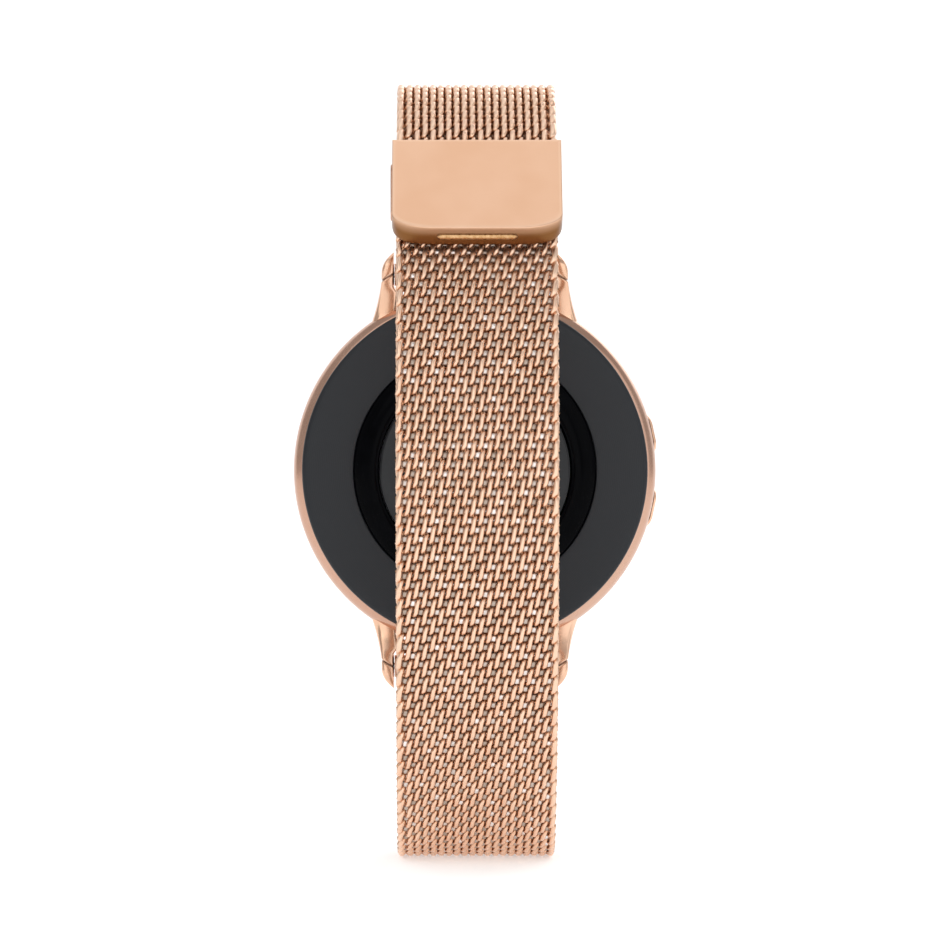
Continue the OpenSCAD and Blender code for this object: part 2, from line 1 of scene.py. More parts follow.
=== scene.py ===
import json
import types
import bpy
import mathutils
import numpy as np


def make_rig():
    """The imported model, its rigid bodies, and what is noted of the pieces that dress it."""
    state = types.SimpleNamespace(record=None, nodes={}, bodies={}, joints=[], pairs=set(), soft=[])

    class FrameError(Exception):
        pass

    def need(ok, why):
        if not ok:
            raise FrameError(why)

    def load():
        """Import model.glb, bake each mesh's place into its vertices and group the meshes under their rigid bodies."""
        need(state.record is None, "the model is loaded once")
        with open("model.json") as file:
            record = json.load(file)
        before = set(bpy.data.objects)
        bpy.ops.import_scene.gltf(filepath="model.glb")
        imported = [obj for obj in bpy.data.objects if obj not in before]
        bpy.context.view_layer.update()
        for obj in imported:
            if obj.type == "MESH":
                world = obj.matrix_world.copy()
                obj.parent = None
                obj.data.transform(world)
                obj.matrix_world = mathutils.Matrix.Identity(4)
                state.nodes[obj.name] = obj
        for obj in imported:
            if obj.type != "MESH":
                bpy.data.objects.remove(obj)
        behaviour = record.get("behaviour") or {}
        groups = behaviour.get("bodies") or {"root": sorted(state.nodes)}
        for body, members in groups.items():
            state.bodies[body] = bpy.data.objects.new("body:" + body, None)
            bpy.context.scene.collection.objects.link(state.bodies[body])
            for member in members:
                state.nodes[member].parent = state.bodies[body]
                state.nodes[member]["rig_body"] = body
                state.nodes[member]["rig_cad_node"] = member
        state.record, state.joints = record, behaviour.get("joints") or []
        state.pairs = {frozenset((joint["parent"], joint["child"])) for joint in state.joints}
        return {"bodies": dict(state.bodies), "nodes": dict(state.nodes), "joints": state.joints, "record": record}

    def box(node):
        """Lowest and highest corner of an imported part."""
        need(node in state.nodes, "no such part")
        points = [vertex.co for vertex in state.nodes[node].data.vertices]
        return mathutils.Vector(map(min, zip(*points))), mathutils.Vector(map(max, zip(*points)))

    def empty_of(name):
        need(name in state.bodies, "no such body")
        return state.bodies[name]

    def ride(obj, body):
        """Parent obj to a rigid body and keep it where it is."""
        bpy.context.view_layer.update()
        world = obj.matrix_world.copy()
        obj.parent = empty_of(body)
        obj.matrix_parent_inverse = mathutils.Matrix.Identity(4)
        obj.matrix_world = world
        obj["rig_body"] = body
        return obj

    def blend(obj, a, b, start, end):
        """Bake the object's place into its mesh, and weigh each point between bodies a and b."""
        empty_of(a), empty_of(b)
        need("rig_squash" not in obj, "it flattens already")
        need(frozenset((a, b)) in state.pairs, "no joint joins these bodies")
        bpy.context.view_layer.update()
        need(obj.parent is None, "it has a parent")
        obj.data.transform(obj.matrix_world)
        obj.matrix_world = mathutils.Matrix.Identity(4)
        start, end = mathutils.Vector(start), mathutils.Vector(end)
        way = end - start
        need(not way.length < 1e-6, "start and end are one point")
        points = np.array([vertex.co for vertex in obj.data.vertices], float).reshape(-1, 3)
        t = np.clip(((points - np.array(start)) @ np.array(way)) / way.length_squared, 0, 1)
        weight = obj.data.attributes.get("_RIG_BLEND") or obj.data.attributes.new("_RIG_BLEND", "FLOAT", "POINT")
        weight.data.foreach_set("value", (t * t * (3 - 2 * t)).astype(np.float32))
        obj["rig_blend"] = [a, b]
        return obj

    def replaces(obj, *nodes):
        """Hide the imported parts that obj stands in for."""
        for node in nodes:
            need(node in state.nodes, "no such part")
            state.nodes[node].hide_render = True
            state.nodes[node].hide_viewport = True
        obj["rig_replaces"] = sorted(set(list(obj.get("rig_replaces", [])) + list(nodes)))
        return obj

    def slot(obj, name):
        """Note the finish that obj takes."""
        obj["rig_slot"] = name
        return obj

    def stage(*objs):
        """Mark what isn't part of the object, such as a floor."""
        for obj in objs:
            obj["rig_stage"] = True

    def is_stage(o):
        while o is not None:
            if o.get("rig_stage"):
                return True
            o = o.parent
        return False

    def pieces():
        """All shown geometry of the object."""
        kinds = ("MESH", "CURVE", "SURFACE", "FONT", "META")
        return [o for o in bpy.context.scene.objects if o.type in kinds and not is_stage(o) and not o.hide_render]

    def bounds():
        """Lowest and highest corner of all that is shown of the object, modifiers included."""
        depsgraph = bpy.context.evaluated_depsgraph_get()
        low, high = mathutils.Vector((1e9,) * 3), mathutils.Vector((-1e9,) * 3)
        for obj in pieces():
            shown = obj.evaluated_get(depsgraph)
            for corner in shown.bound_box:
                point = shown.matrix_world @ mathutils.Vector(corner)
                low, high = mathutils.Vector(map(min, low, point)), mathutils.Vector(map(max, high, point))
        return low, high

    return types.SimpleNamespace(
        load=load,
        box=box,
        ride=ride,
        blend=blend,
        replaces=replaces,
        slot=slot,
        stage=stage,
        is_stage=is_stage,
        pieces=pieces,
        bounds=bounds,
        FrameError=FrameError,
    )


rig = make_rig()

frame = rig.load()
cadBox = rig.bounds()

import json
import bmesh
import bpy
import numpy as np
from mathutils import Vector

mm = 0.001
nodes = frame["nodes"]
joints = {j["name"]: j for j in frame["joints"]}


# shader building

class Sig:
    # one output socket of a material; arithmetic on it adds Math nodes
    def __init__(self, finish, socket):
        self.finish, self.socket = finish, socket

    def math(self, operation, *others):
        # one operation on this socket and the others, in that order
        return self.finish.add("Math", {"operation": operation}, [self, *others])

    def __add__(self, other):
        return self.math("ADD", other)

    def __sub__(self, other):
        return self.math("SUBTRACT", other)

    def __mul__(self, other):
        return self.math("MULTIPLY", other)

    def __pow__(self, other):
        return self.math("POWER", other)

    def __rsub__(self, other):
        return self.finish.add("Math", {"operation": "SUBTRACT"}, [other, self])

    __radd__ = __add__
    __rmul__ = __mul__

    def over(self, low, high):
        # 0 below low, 1 above high, a straight line between
        return self.finish.add("MapRange", {"clamp": True}, {0: self, 1: low, 2: high, 3: 0.0, 4: 1.0})


class Finish:
    # a material: fixed values go on the shader's sockets, add() makes a node, feed() links what varies
    def __init__(self, name, **fixed):
        self.material = bpy.data.materials.new(name)
        self.material.use_nodes = True
        self.tree = self.material.node_tree
        self.shader = self.tree.nodes["Principled BSDF"]
        for key, value in fixed.items():
            self.shader.inputs[key.replace("_", " ")].default_value = value
        self.place = self.add("TexCoord", out="Object")

    def add(self, kind, settings={}, inputs={}, out=0):
        # a node of any kind: its settings first, then a value or a link for each socket
        node = self.tree.nodes.new("ShaderNode" + kind)
        for key, value in settings.items():
            setattr(node, key, value)
        for key, value in (inputs.items() if isinstance(inputs, dict) else enumerate(inputs)):
            if isinstance(value, Sig):
                self.tree.links.new(value.socket, node.inputs[key])
            else:
                node.inputs[key].default_value = value
        return Sig(self, node.outputs[out])

    def noise(self, scale, detail=3.0, at=None):
        # soft random values from 0 to 1, with this many blotches to a metre
        where = at or self.place
        return self.add("TexNoise", {}, {"Vector": where, "Scale": scale, "Detail": detail})

    def mix(self, share, a, b):
        # colour a where share is 0, colour b where it is 1
        a, b = (colour if isinstance(colour, Sig) else (*colour, 1.0) for colour in (a, b))
        return self.add("Mix", {"data_type": "RGBA"}, {0: share, 6: a, 7: b}, out=2)

    def stretched(self, x, y, z):
        # the place with each axis multiplied, so that a noise read there is drawn out
        return self.add("Mapping", {}, {"Vector": self.place, "Scale": (x, y, z)})

    def attribute(self, name):
        # a number that the mesh holds at each point
        return self.add("Attribute", {"attribute_name": name}, out="Fac")

    def feed(self, height=None, depth=0.0, **links):
        # links what varies to the shader, with the height as a bump this deep
        for key, value in links.items():
            self.tree.links.new(value.socket, self.shader.inputs[key.replace("_", " ")])
        if height is not None:
            sockets = {"Height": height, "Distance": depth, "Strength": 1.0}
            bump = self.add("Bump", {}, sockets, out="Normal")
            self.tree.links.new(bump.socket, self.shader.inputs["Normal"])
        return self.material


# finishes

def wireGold():
    # drawn rose gold wire, painted redder and darker down between the coils as painted shade, fine drawing marks
    f = Finish("wovenRoseGold", Metallic=1.0)
    deep = f.attribute("deep")
    tone = f.noise(420.0).over(0.3, 0.7)
    worn = f.mix(tone, (0.90, 0.59, 0.42), (0.95, 0.68, 0.51))
    # painted shade: the deeper a point lies in the weave, the nearer its colour is to dark red-brown
    colour = f.mix(deep.over(0.12, 0.75), worn, (0.72, 0.40, 0.23))
    marks = f.noise(9000.0, 2.0)
    return f.feed(marks, 0.000004, Base_Color=colour, Roughness=0.24 + 0.14 * tone)


def rodSteel():
    # flattened grey links that show in the weave's gaps, some duller than others at random; tone below 0 is painted
    # dark brown as painted shade
    f = Finish("linkSteel", Metallic=1.0)
    tone = f.attribute("tone")
    bright = tone.over(0.0, 1.0)
    colour = f.mix(bright ** 2.5, (0.46, 0.38, 0.32), (0.90, 0.86, 0.84))
    # painted shade: a tone below 0, given to the inner face's lobes, turns them dark brown
    colour = f.mix(tone.over(-0.6, 0.0), (0.17, 0.095, 0.06), colour)
    return f.feed(f.noise(5000.0), 0.000006, Base_Color=colour, Roughness=0.45 - 0.12 * bright)


def claspGold():
    # satin face brushed across the band, with a painted highlight along its rounded edges and painted shade down its
    # sloping end
    f = Finish("satinRoseGold", Metallic=1.0)
    brushed = f.noise(1.0, 4.0, f.stretched(900.0, 14000.0, 14000.0))
    cloud = f.noise(160.0, 2.0)
    edge, slope = f.attribute("edge"), f.attribute("slope")
    face = f.mix(cloud.over(0.35, 0.65), (0.84, 0.515, 0.335), (0.87, 0.55, 0.37))
    # painted highlight where edge is high; painted shade where slope is high
    colour = f.mix(slope, f.mix(edge, face, (1.0, 0.74, 0.56)), (0.22, 0.095, 0.032))
    rough = 0.40 + 0.10 * (brushed - 0.5) - 0.10 * edge - 0.08 * slope
    return f.feed(brushed, 0.0000022, Base_Color=colour, Roughness=rough)


def caseGold(name, dark, light):
    # polished rose gold with faint hairlines and smudges, painted dark along creases as painted shade
    f = Finish(name, Metallic=1.0)
    hair = f.noise(1.0, 3.0, f.stretched(2500.0, 2500.0, 400.0))
    smudge = f.noise(120.0, 3.0).over(0.35, 0.75)
    colour = f.mix(smudge, dark, light)
    # painted shade: dark brown where the crease attribute is high
    colour = f.mix(f.attribute("crease"), colour, (0.16, 0.07, 0.04))
    return f.feed(hair, 0.0000015, Base_Color=colour, Roughness=0.16 + 0.12 * smudge + 0.05 * hair)


def plain(name, light, dark, rough, scale=300.0, metal=0.0, depth=0.000005, **fixed):
    # two close tones in a fine mottle, with a matching bump and gloss
    f = Finish(name, Metallic=metal, **fixed)
    grain = f.noise(scale, 4.0)
    tone = grain.over(0.3, 0.7)
    return f.feed(grain, depth, Base_Color=f.mix(tone, light, dark), Roughness=rough + 0.10 * (tone - 0.5))


def turned(name, light, dark, rough, pitch, centre, depth, metal=0.0, **fixed):
    # fine rings about the case's axis, as turned metal or a wound coil has
    f = Finish(name, Metallic=metal, **fixed)
    shift = (-centre[0], 0.0, -centre[2])
    moved = f.add("Mapping", {}, {"Vector": f.place, "Location": shift, "Scale": (1, 0, 1)})
    radius = f.add("VectorMath", {"operation": "LENGTH"}, [moved], out="Value")
    rings = (radius * (2 * np.pi / pitch)).math("SINE") * 0.5 + 0.5
    speck = f.noise(3500.0, 2.0)
    tone = rings * 0.6 + speck * 0.4
    return f.feed(tone, depth, Base_Color=f.mix(tone, light, dark), Roughness=rough + 0.08 * speck)


def board():
    # solder mask with copper tracks under it
    f = Finish("circuitBoard")
    tracks = f.add("TexVoronoi", {"distance": "CHEBYCHEV"}, {"Vector": f.place, "Scale": 900.0})
    line = tracks.over(0.30, 0.36)
    return f.feed(line, 0.00002, Base_Color=f.mix(line, (0.01, 0.06, 0.025), (0.05, 0.16, 0.06)),
                  Roughness=0.35 + 0.1 * line)


# mesh building

def quads(rows, columns, wrapRows=False, wrapColumns=False):
    # corners of every cell of a grid of points numbered row by row
    r = np.arange(rows if wrapRows else rows - 1)[:, None]
    c = np.arange(columns if wrapColumns else columns - 1)[None, :]
    r2, c2 = (r + 1) % rows, (c + 1) % columns
    cells = [r * columns + c, r * columns + c2, r2 * columns + c2, r2 * columns + c]
    return np.stack([k + 0 * (r + c) for k in cells], -1).reshape(-1, 4)


def addMesh(name, points, faces, materials, slots=None, smooth=True, **attributes):
    # faces is a list of arrays, each of faces with the same number of corners
    mesh = bpy.data.meshes.new(name)
    points = np.asarray(points, np.float32).reshape(-1, 3)
    mesh.vertices.add(len(points))
    mesh.vertices.foreach_set("co", points.ravel())
    sizes = np.concatenate([np.full(len(f), f.shape[1]) for f in faces])
    corners = np.concatenate([f.ravel() for f in faces]).astype(np.int32)
    mesh.loops.add(len(corners))
    mesh.loops.foreach_set("vertex_index", corners)
    mesh.polygons.add(len(sizes))
    mesh.polygons.foreach_set("loop_start", (np.cumsum(sizes) - sizes).astype(np.int32))
    mesh.polygons.foreach_set("loop_total", sizes.astype(np.int32))
    mesh.polygons.foreach_set("use_smooth", np.full(len(sizes), smooth))
    if slots is not None:
        mesh.polygons.foreach_set("material_index", slots.astype(np.int32))
    mesh.update(calc_edges=True)
    for key, values in attributes.items():
        layer = mesh.attributes.new(key, "FLOAT", "POINT")
        layer.data.foreach_set("value", np.asarray(values, np.float32).ravel())
    for material in materials:
        mesh.materials.append(material)
    thing = bpy.data.objects.new(name, mesh)
    bpy.context.scene.collection.objects.link(thing)
    return thing


def softenAngles(thing, angle=0.6):
    # smooth shading, broken where two faces meet at more than this angle
    bpy.context.view_layer.objects.active = thing
    thing.select_set(True)
    bpy.ops.object.shade_smooth_by_angle(angle=angle)
    thing.select_set(False)


def cutCorners(points, passes):
    # each corner of a closed outline is replaced by two points a quarter of the way along its sides
    p = np.array(points, float)
    for _ in range(passes):
        q = np.roll(p, -1, 0)
        p = np.stack([0.75 * p + 0.25 * q, 0.25 * p + 0.75 * q], 1).reshape(-1, p.shape[1])
    return p


glassLow, glassHigh = (np.array(v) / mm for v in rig.box("cover_glass"))
backLow = np.array(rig.box("rear_cover")[0]) / mm
case = dict(
    middle=(glassLow[2] + glassHigh[2]) / 2,      # height of the case's axis
    back=backLow[1] - 1.2,                        # depth of the sensor dome's top
    radius=22.0, glassInset=1.5,                  # the case's side, and how far inside it the glass ends
    thickness=10.9)                               # from the dome's top to the front of the glass


def spun(name, profile, material, segments=192):
    # the closed outline profile(t) = [radius, height] turned round the case's axis
    profile = np.array(profile, float)
    angle = np.linspace(0, 2 * np.pi, segments, endpoint=False)
    r = profile[None, :, 0]
    x, z = r * np.cos(angle)[:, None], r * np.sin(angle)[:, None]
    y = case["back"] + np.broadcast_to(profile[None, :, 1], x.shape)
    points = np.stack([x, y, case["middle"] + z], -1) * mm
    return addMesh(name, points, [quads(len(angle), len(profile), True, True)], [material])


def spunDisc(name, profile, material, segments=192):
    # an outline from the axis to the axis turned round it, with one point at each pole
    profile = np.array(profile, float)
    ring = profile[1:-1]
    angle = np.linspace(0, 2 * np.pi, segments, endpoint=False)
    x, z = ring[:, :1] * np.cos(angle), ring[:, :1] * np.sin(angle)
    y = case["back"] + np.broadcast_to(ring[:, 1:], x.shape)
    body = np.stack([x, y, case["middle"] + z], -1).reshape(-1, 3)
    poles = [[0, case["back"] + profile[k, 1], case["middle"]] for k in (0, -1)]
    n, count, s = segments, len(body), np.arange(segments)
    low = np.stack([np.full(n, count), (s + 1) % n, s], -1)
    top = (len(ring) - 1) * n
    high = np.stack([np.full(n, count + 1), top + s, top + (s + 1) % n], -1)
    return addMesh(name, np.vstack([body, poles]) * mm,
                   [quads(len(ring), n, False, True), low, high], [material])


def facingOut(thing):
    # doubles merged, then every face turned outwards
    b = bmesh.new()
    b.from_mesh(thing.data)
    bmesh.ops.remove_doubles(b, verts=b.verts, dist=1e-7)
    bmesh.ops.recalc_face_normals(b, faces=b.faces)
    b.to_mesh(thing.data)
    b.free()
    thing.data.update()
    return thing


def roundedCopy(name, node, body, slot, material, edge=0.08):
    # a CAD node's shape with its doubles merged, flat faces joined and every sharp edge rounded
    b = bmesh.new()
    b.from_mesh(nodes[node].data)
    bmesh.ops.remove_doubles(b, verts=b.verts, dist=2e-6)
    bmesh.ops.dissolve_limit(b, angle_limit=0.01, verts=b.verts, edges=b.edges)
    bmesh.ops.recalc_face_normals(b, faces=b.faces)
    mesh = bpy.data.meshes.new(name)
    b.to_mesh(mesh)
    b.free()
    mesh.materials.append(material)
    thing = bpy.data.objects.new(name, mesh)
    bpy.context.scene.collection.objects.link(thing)
    bevel = thing.modifiers.new("edges", "BEVEL")
    bevel.width, bevel.segments, bevel.limit_method, bevel.angle_limit = edge * mm, 2, "ANGLE", 0.6
    bevel.use_clamp_overlap = True
    softenAngles(thing)
    place(thing, body, slot, node)
    return thing


def place(thing, body, slot, *replaced):
    # the piece rides on its body, in its material slot, instead of the CAD nodes it replaces
    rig.ride(thing, body)
    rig.slot(thing, slot)
    if replaced:
        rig.replaces(thing, *replaced)
    return thing


# the band's route

band = dict(
    depth=58.5,                                           # the loop, from the clasp side to the glass
    frontR=55.0, shoulderR=42.0, endR=20.0,               # side view radii, outside the mesh
    frontAngle=34.0, shoulderAngle=54.5, foldAngle=35.0,  # where one radius gives way to the next
    thick=1.6, gap=0.2,                                   # of the mesh, and between its two layers
    foldR=0.95, tubeR=1.35)                               # of the ring's bar, and of the end links


def spot(joint):
    # a joint's place in the side view, as [depth, height] from the middle of the loop
    place = joints[joint]["pos_m"]
    return np.array([place[1] / mm + band["depth"] / 2, place[2] / mm - case["middle"]])


def polar(centre, radius, degrees):
    # centre + radius (cos, sin) of an angle
    a = np.radians(degrees)
    return np.stack([centre[0] + radius * np.cos(a), centre[1] + radius * np.sin(a)], -1)


def arc(centre, radius, first, last, step=0.25):
    # points and outward directions along an arc
    count = max(8, int(abs(last - first) * np.radians(1) * np.max(radius) / step))
    a = np.linspace(first, last, count)
    return polar(centre, radius, a), a


clasp = dict(
    width=19.2, length=14.0, height=2.45,
    angle=40.0, gap=0.1,             # how far it leans back, and its clearance over the strap
    mouth=6.05, meshLow=0.42,        # from the lean's foot up to the mouth, and up to the mesh in it
    bevel=0.35, toe=0.35,            # how much shorter the face is, and the height of the upright toe
    rounding=0.14,                   # of the face's edges
    barLength=9.1, barUp=0.88)       # the finger bar, and how far up the sloping end it lies


def routePoints():
    # the long strap from the lower bar round the bottom, up the front, over the top,
    # round the ring's bar and back to the clasp; a direction is that of the strap's first outer face
    t = band["thick"]
    fa, sa, fold = band["frontAngle"], band["shoulderAngle"], band["foldAngle"]
    frontC = np.array([band["frontR"], 0.0])
    shoulderC = polar(frontC, band["frontR"] - band["shoulderR"], 180 - fa)
    endC = polar(shoulderC, band["shoulderR"] - band["endR"], 180 - sa)
    innerR = band["endR"] - t - band["gap"]
    under = 2 * np.degrees(np.arctan((endC[0] - innerR) / endC[1]))
    underR = innerR + endC[1] / np.sin(np.radians(under))
    midR = band["endR"] - t / 2
    lowC = endC * [1, -1]
    bar = spot("long_strap_swing")
    out = bar - lowC
    leave = np.degrees(np.arctan2(out[1], out[0]) - np.arccos(min(1, midR / np.hypot(*out))))
    layerMid = band["endR"] - t - band["gap"] / 2
    foldC = polar(endC, layerMid, fold)
    turnR = band["foldR"] + t / 2

    def layer(a, side):
        x = np.clip(1 - (a - fold) / 25, 0, 1)
        spread = (turnR - (t + band["gap"]) / 2) * x * x * (3 - 2 * x)
        return layerMid + side * ((t + band["gap"]) / 2 + spread)

    def layerArc(first, last, side):
        a = np.linspace(first, last, 200)
        return polar(endC, layer(a, side), a), a

    lean = clasp["angle"]
    claspBase = polar([underR, 0.0], underR, 180 - lean)
    up, off = polar([0.0, 0.0], 1.0, 90 - lean), polar([0.0, 0.0], 1.0, 180 - lean)
    clasp["base"], clasp["up"], clasp["off"] = claspBase, up, off
    mouth, meshMid = clasp["mouth"], clasp["meshLow"] + t / 2
    intoMouth = ((1.2, -0.1), (0.0, 0.0), (-3.0, 0.0))
    parts = [
        (bar[None], np.array([leave])),
        arc(lowC, midR, leave, -90),
        arc(lowC, midR, 270, 180 + sa),
        arc(shoulderC * [1, -1], band["shoulderR"] - t / 2, 180 + sa, 180 + fa),
        arc(frontC, band["frontR"] - t / 2, 180 + fa, 180),
        arc([underR, 0], underR - t / 2, 180, 180 - under),
        layerArc(180 - under, fold, -1),
        arc(foldC, turnR, fold - 180, fold),
        layerArc(fold, 180 - under, 1),
        (np.array([claspBase + (mouth + u) * up + (meshMid + w) * off for u, w in intoMouth]),
         np.full(len(intoMouth), 180 - lean))]
    flipped = [False] * 7 + [True] * 3
    points = np.vstack([p for p, a in parts])
    angles = np.radians(np.concatenate([a + (180 if f else 0) for (p, a), f in zip(parts, flipped)]))
    normals = np.stack([np.cos(angles), np.sin(angles)], -1)
    step = np.hypot(*np.diff(points, axis=0).T)
    keep = np.concatenate([[True], step > 1e-4])
    points, normals = points[keep], normals[keep]
    along = np.concatenate([[0], np.cumsum(np.hypot(*np.diff(points, axis=0).T))])
    toFold = np.hypot(*(points - foldC).T)
    marks = dict(bottom=along[np.argmin(points[:, 1])], fold=along[np.argmin(toFold)], end=along[-1])
    return along, points, normals, marks


def shortRoute():
    # the short strap, straight from the upper bar to the ring's lower bar
    a, b = spot("short_strap_swing"), spot("ring_swing")
    length = np.hypot(*(b - a))
    d = (b - a) / length
    normal = np.array([-d[1], d[0]])
    along = np.linspace(0, length, 20)
    return along, a + along[:, None] * d, np.broadcast_to(normal, (20, 2)), length


def onRoute(route, x, s, n):
    # a point at x across, s along and n off the strap's middle, in metres
    along, points, normals = route
    d, h, nd, nh = (np.interp(s, along, v) for v in (*points.T, *normals.T))
    size = np.hypot(nd, nh)
    return np.stack([x, d + n * nd / size - band["depth"] / 2, h + n * nh / size + case["middle"]], -1) * mm


# the weave

weave = dict(
    column=0.898,          # between two columns of stitches
    rise=1.044,            # between two coils along the strap
    turns=10, wire=0.278,   # turns in a coil, and the wire's radius
    upright=(1.7, 4.0),        # how late a stitch swings across, on the outer and inner face
    reach=(0.88, 1.05),         # half a stitch's length on each face
    square=(0.50, 0.32),        # how squarely a coil turns over on each face
    depth=0.57, flat=0.76,      # the coil's half depth, and where the strap's faces press it flat
    segments=12, sides=6,       # points in a turn, and round the wire
    mouthStretch=1.75,     # how far the last coils before the clasp are pulled apart
    lobeHigh=0.37, lobeThick=0.46, lobeTilt=0.12,       # a cross wire's lobe in a gap of the weave
    linkThin=0.11,                                      # the cross wire's half size between lobes
    innerWire=1.3, innerLobe=0.4)     # the wire and the lobes on the inner face, as shares of the outer


def coilShape(odd):
    # a coil turned round the strap's width: along = reach sin(p), off = depth cos(p), both squared up a
    # little, while x grows by a column each half turn, as (way from the stitch's middle) ^ upright; the
    # wire thins where it turns over, is pressed flat on both faces, and the edge stitches stand upright
    w = weave
    turn = np.linspace(0, 2 * np.pi * w["turns"], w["turns"] * w["segments"] + 1)
    p = turn - np.pi / 2 - (np.pi if odd else 0)
    inner = (1 - np.cos(p)) / 2
    face = lambda pair: pair[0] + (pair[1] - pair[0]) * inner
    halves = np.round(p / np.pi)
    way = p / (np.pi / 2) - 2 * halves
    swing = 0.5 * np.sign(way) * np.abs(way) ** np.where(halves % 2 == 0, *w["upright"])
    x = w["column"] * (-w["turns"] + (1.5 if odd else 0.5) + halves + swing)
    s, n = np.sin(p), np.cos(p)
    edge = np.clip((np.abs(x) - 8.0) / 0.4, 0, 1)
    x = np.sign(x) * np.interp(np.abs(x), [0, 7.6, 8.1, 8.55, 9.0], [0, 7.66, 8.22, 8.74, 8.92])
    s = (face(w["reach"]) + 0.08 * edge) * np.sign(s) * np.abs(s) ** 0.85
    n = w["depth"] * np.sign(n) * np.abs(n) ** face(w["square"])
    line = np.stack([x, s, n], -1)
    tangent = np.gradient(line, axis=0)
    tangent /= np.linalg.norm(tangent, axis=1)[:, None]
    side = np.array([1.0, 0, 0]) - tangent[:, :1] * tangent
    side /= np.linalg.norm(side, axis=1)[:, None]
    third = np.cross(tangent, side)
    a = np.arange(w["sides"]) * 2 * np.pi / w["sides"]
    radius = w["wire"] * (0.74 + 0.26 * np.abs(np.cos(p))) * (1 + 0.12 * edge)
    radius = (radius * (1 + (w["innerWire"] - 1) * inner))[:, None, None]
    ring = np.cos(a)[None, :, None] * side[:, None] + np.sin(a)[None, :, None] * third[:, None]
    ring = line[:, None] + radius * ring
    ring[..., 2] = np.clip(ring[..., 2], -w["flat"], w["flat"])
    return ring


def linkShape(odd, rng):
    # a thin cross wire with a flattened lobe in every gap of the weave: half sizes swell from thin to
    # lobe and back; each lobe leans its own way and has its own random tone, while on the inner face it is sunk and
    # gets a dark tone, painted shade
    w = weave
    first = w["column"] * (-w["turns"] + (2.0 if odd else 1.0))
    middles = np.minimum(first + 2 * w["column"] * np.arange(w["turns"]), 9 * w["column"])
    offsets = np.array([-0.40, -0.31, -0.16, 0.16, 0.31, 0.40])
    swell = np.array([0.0, 0.75, 1.0, 1.0, 0.75, 0.0])[None]
    swell = swell * np.where(np.diff(middles, prepend=-99) < 1, 0, 1)[:, None]
    high = w["linkThin"] + (w["lobeHigh"] - w["linkThin"]) * swell
    thick = w["linkThin"] + (w["lobeThick"] - w["linkThin"]) * swell
    a = (np.arange(8) + 0.5) * np.pi / 4
    squared = lambda v: np.sign(v) * np.abs(v) ** 0.55
    x = middles[:, None, None] + offsets[None, :, None] + 0 * a
    s = high[..., None] * squared(np.cos(a))
    n = thick[..., None] * squared(np.sin(a))
    lean = rng.normal(0, w["lobeTilt"], (2, len(middles), 1, 1))
    n = n + swell[..., None] * (lean[0] * offsets[None, :, None] + lean[1] * s)
    # painted shade: inner-face points get tone -0.8, which the link finish paints dark brown
    tone = np.where(n < 0, -0.8, rng.random((len(middles), 1, 1))) + 0 * x
    n = np.where(n < 0, n * w["innerLobe"], n)
    return [v.reshape(-1, 8) for v in (x, s, n, tone)]


def weavePiece(name, route, places, spacing, seed, parity=0, linksBelow=True):
    # one coil at each place along the route, every other one half a turn over, with a cross wire between
    w = weave
    rng = np.random.default_rng(seed)
    shapes = [coilShape(False), coilShape(True)]
    rings, sides = shapes[0].shape[:2]
    local = np.stack([shapes[(k + parity) % 2] for k in range(len(places))])
    shake = rng.normal(0, 0.012, (len(places), 1, 1, 2))
    stretch = np.asarray(spacing)[:, None, None] / w["rise"]
    s = local[..., 1] * stretch + np.asarray(places)[:, None, None] + shake[..., 0]
    x = local[..., 0] + shake[..., 1]
    n = local[..., 2]
    points = onRoute(route, x, s, n).reshape(-1, 3)
    # deep: how far a point lies inside the weave, which the wire finish turns into painted shade
    deep = 1 - np.abs(n).reshape(-1) / w["flat"]
    base = np.arange(len(places))[:, None, None] * rings * sides
    tube = (quads(rings, sides, False, True)[None] + base).reshape(-1, 4)
    caps = np.arange(sides)[None] + base[:, 0]
    faces = [tube, caps[:, ::-1], caps + (rings - 1) * sides]
    slots = [np.zeros(len(tube) + 2 * len(places))]
    numbers = np.arange(len(places))[0 if linksBelow else 1:]
    tone = np.zeros(len(deep))
    links = [linkShape((k + parity) % 2 == 1, rng) for k in numbers]
    if links:
        lx, ls, ln, lt = (np.stack(v) for v in zip(*links))
        below = (np.asarray(places) - np.asarray(spacing) / 2)[numbers][:, None, None]
        start, (count, rows) = len(points), lx.shape[:2]
        points = np.vstack([points, onRoute(route, lx, below + ls, ln).reshape(-1, 3)])
        deep, tone = np.concatenate([deep, np.zeros(lx.size)]), np.concatenate([tone, lt.ravel()])
        linkBase = start + np.arange(count)[:, None, None] * rows * 8
        linkFaces = (quads(rows, 8, False, True)[None] + linkBase).reshape(-1, 4)
        ends = np.arange(8)[None] + linkBase[:, 0]
        faces += [linkFaces, ends[:, ::-1], ends + (rows - 1) * 8]
        slots.append(np.ones(len(linkFaces) + 2 * count))
    slots = np.concatenate(slots)
    both = [finishes["wire"], finishes["rod"]]
    thing = addMesh(name, points, faces, both, slots, deep=deep, tone=tone)
    return facingOutByVolume(thing)


def facingOutByVolume(thing):
    # every face reversed if the whole encloses a negative volume
    mesh = thing.data
    mesh.calc_loop_triangles()
    tri = np.zeros(len(mesh.loop_triangles) * 3, np.int32)
    mesh.loop_triangles.foreach_get("vertices", tri)
    co = np.zeros(len(mesh.vertices) * 3, np.float32)
    mesh.vertices.foreach_get("co", co)
    a, b, c = co.reshape(-1, 3)[tri.reshape(-1, 3)].transpose(1, 0, 2).astype(float)
    if (a * np.cross(b, c)).sum() < 0:
        mesh.flip_normals()
    return thing


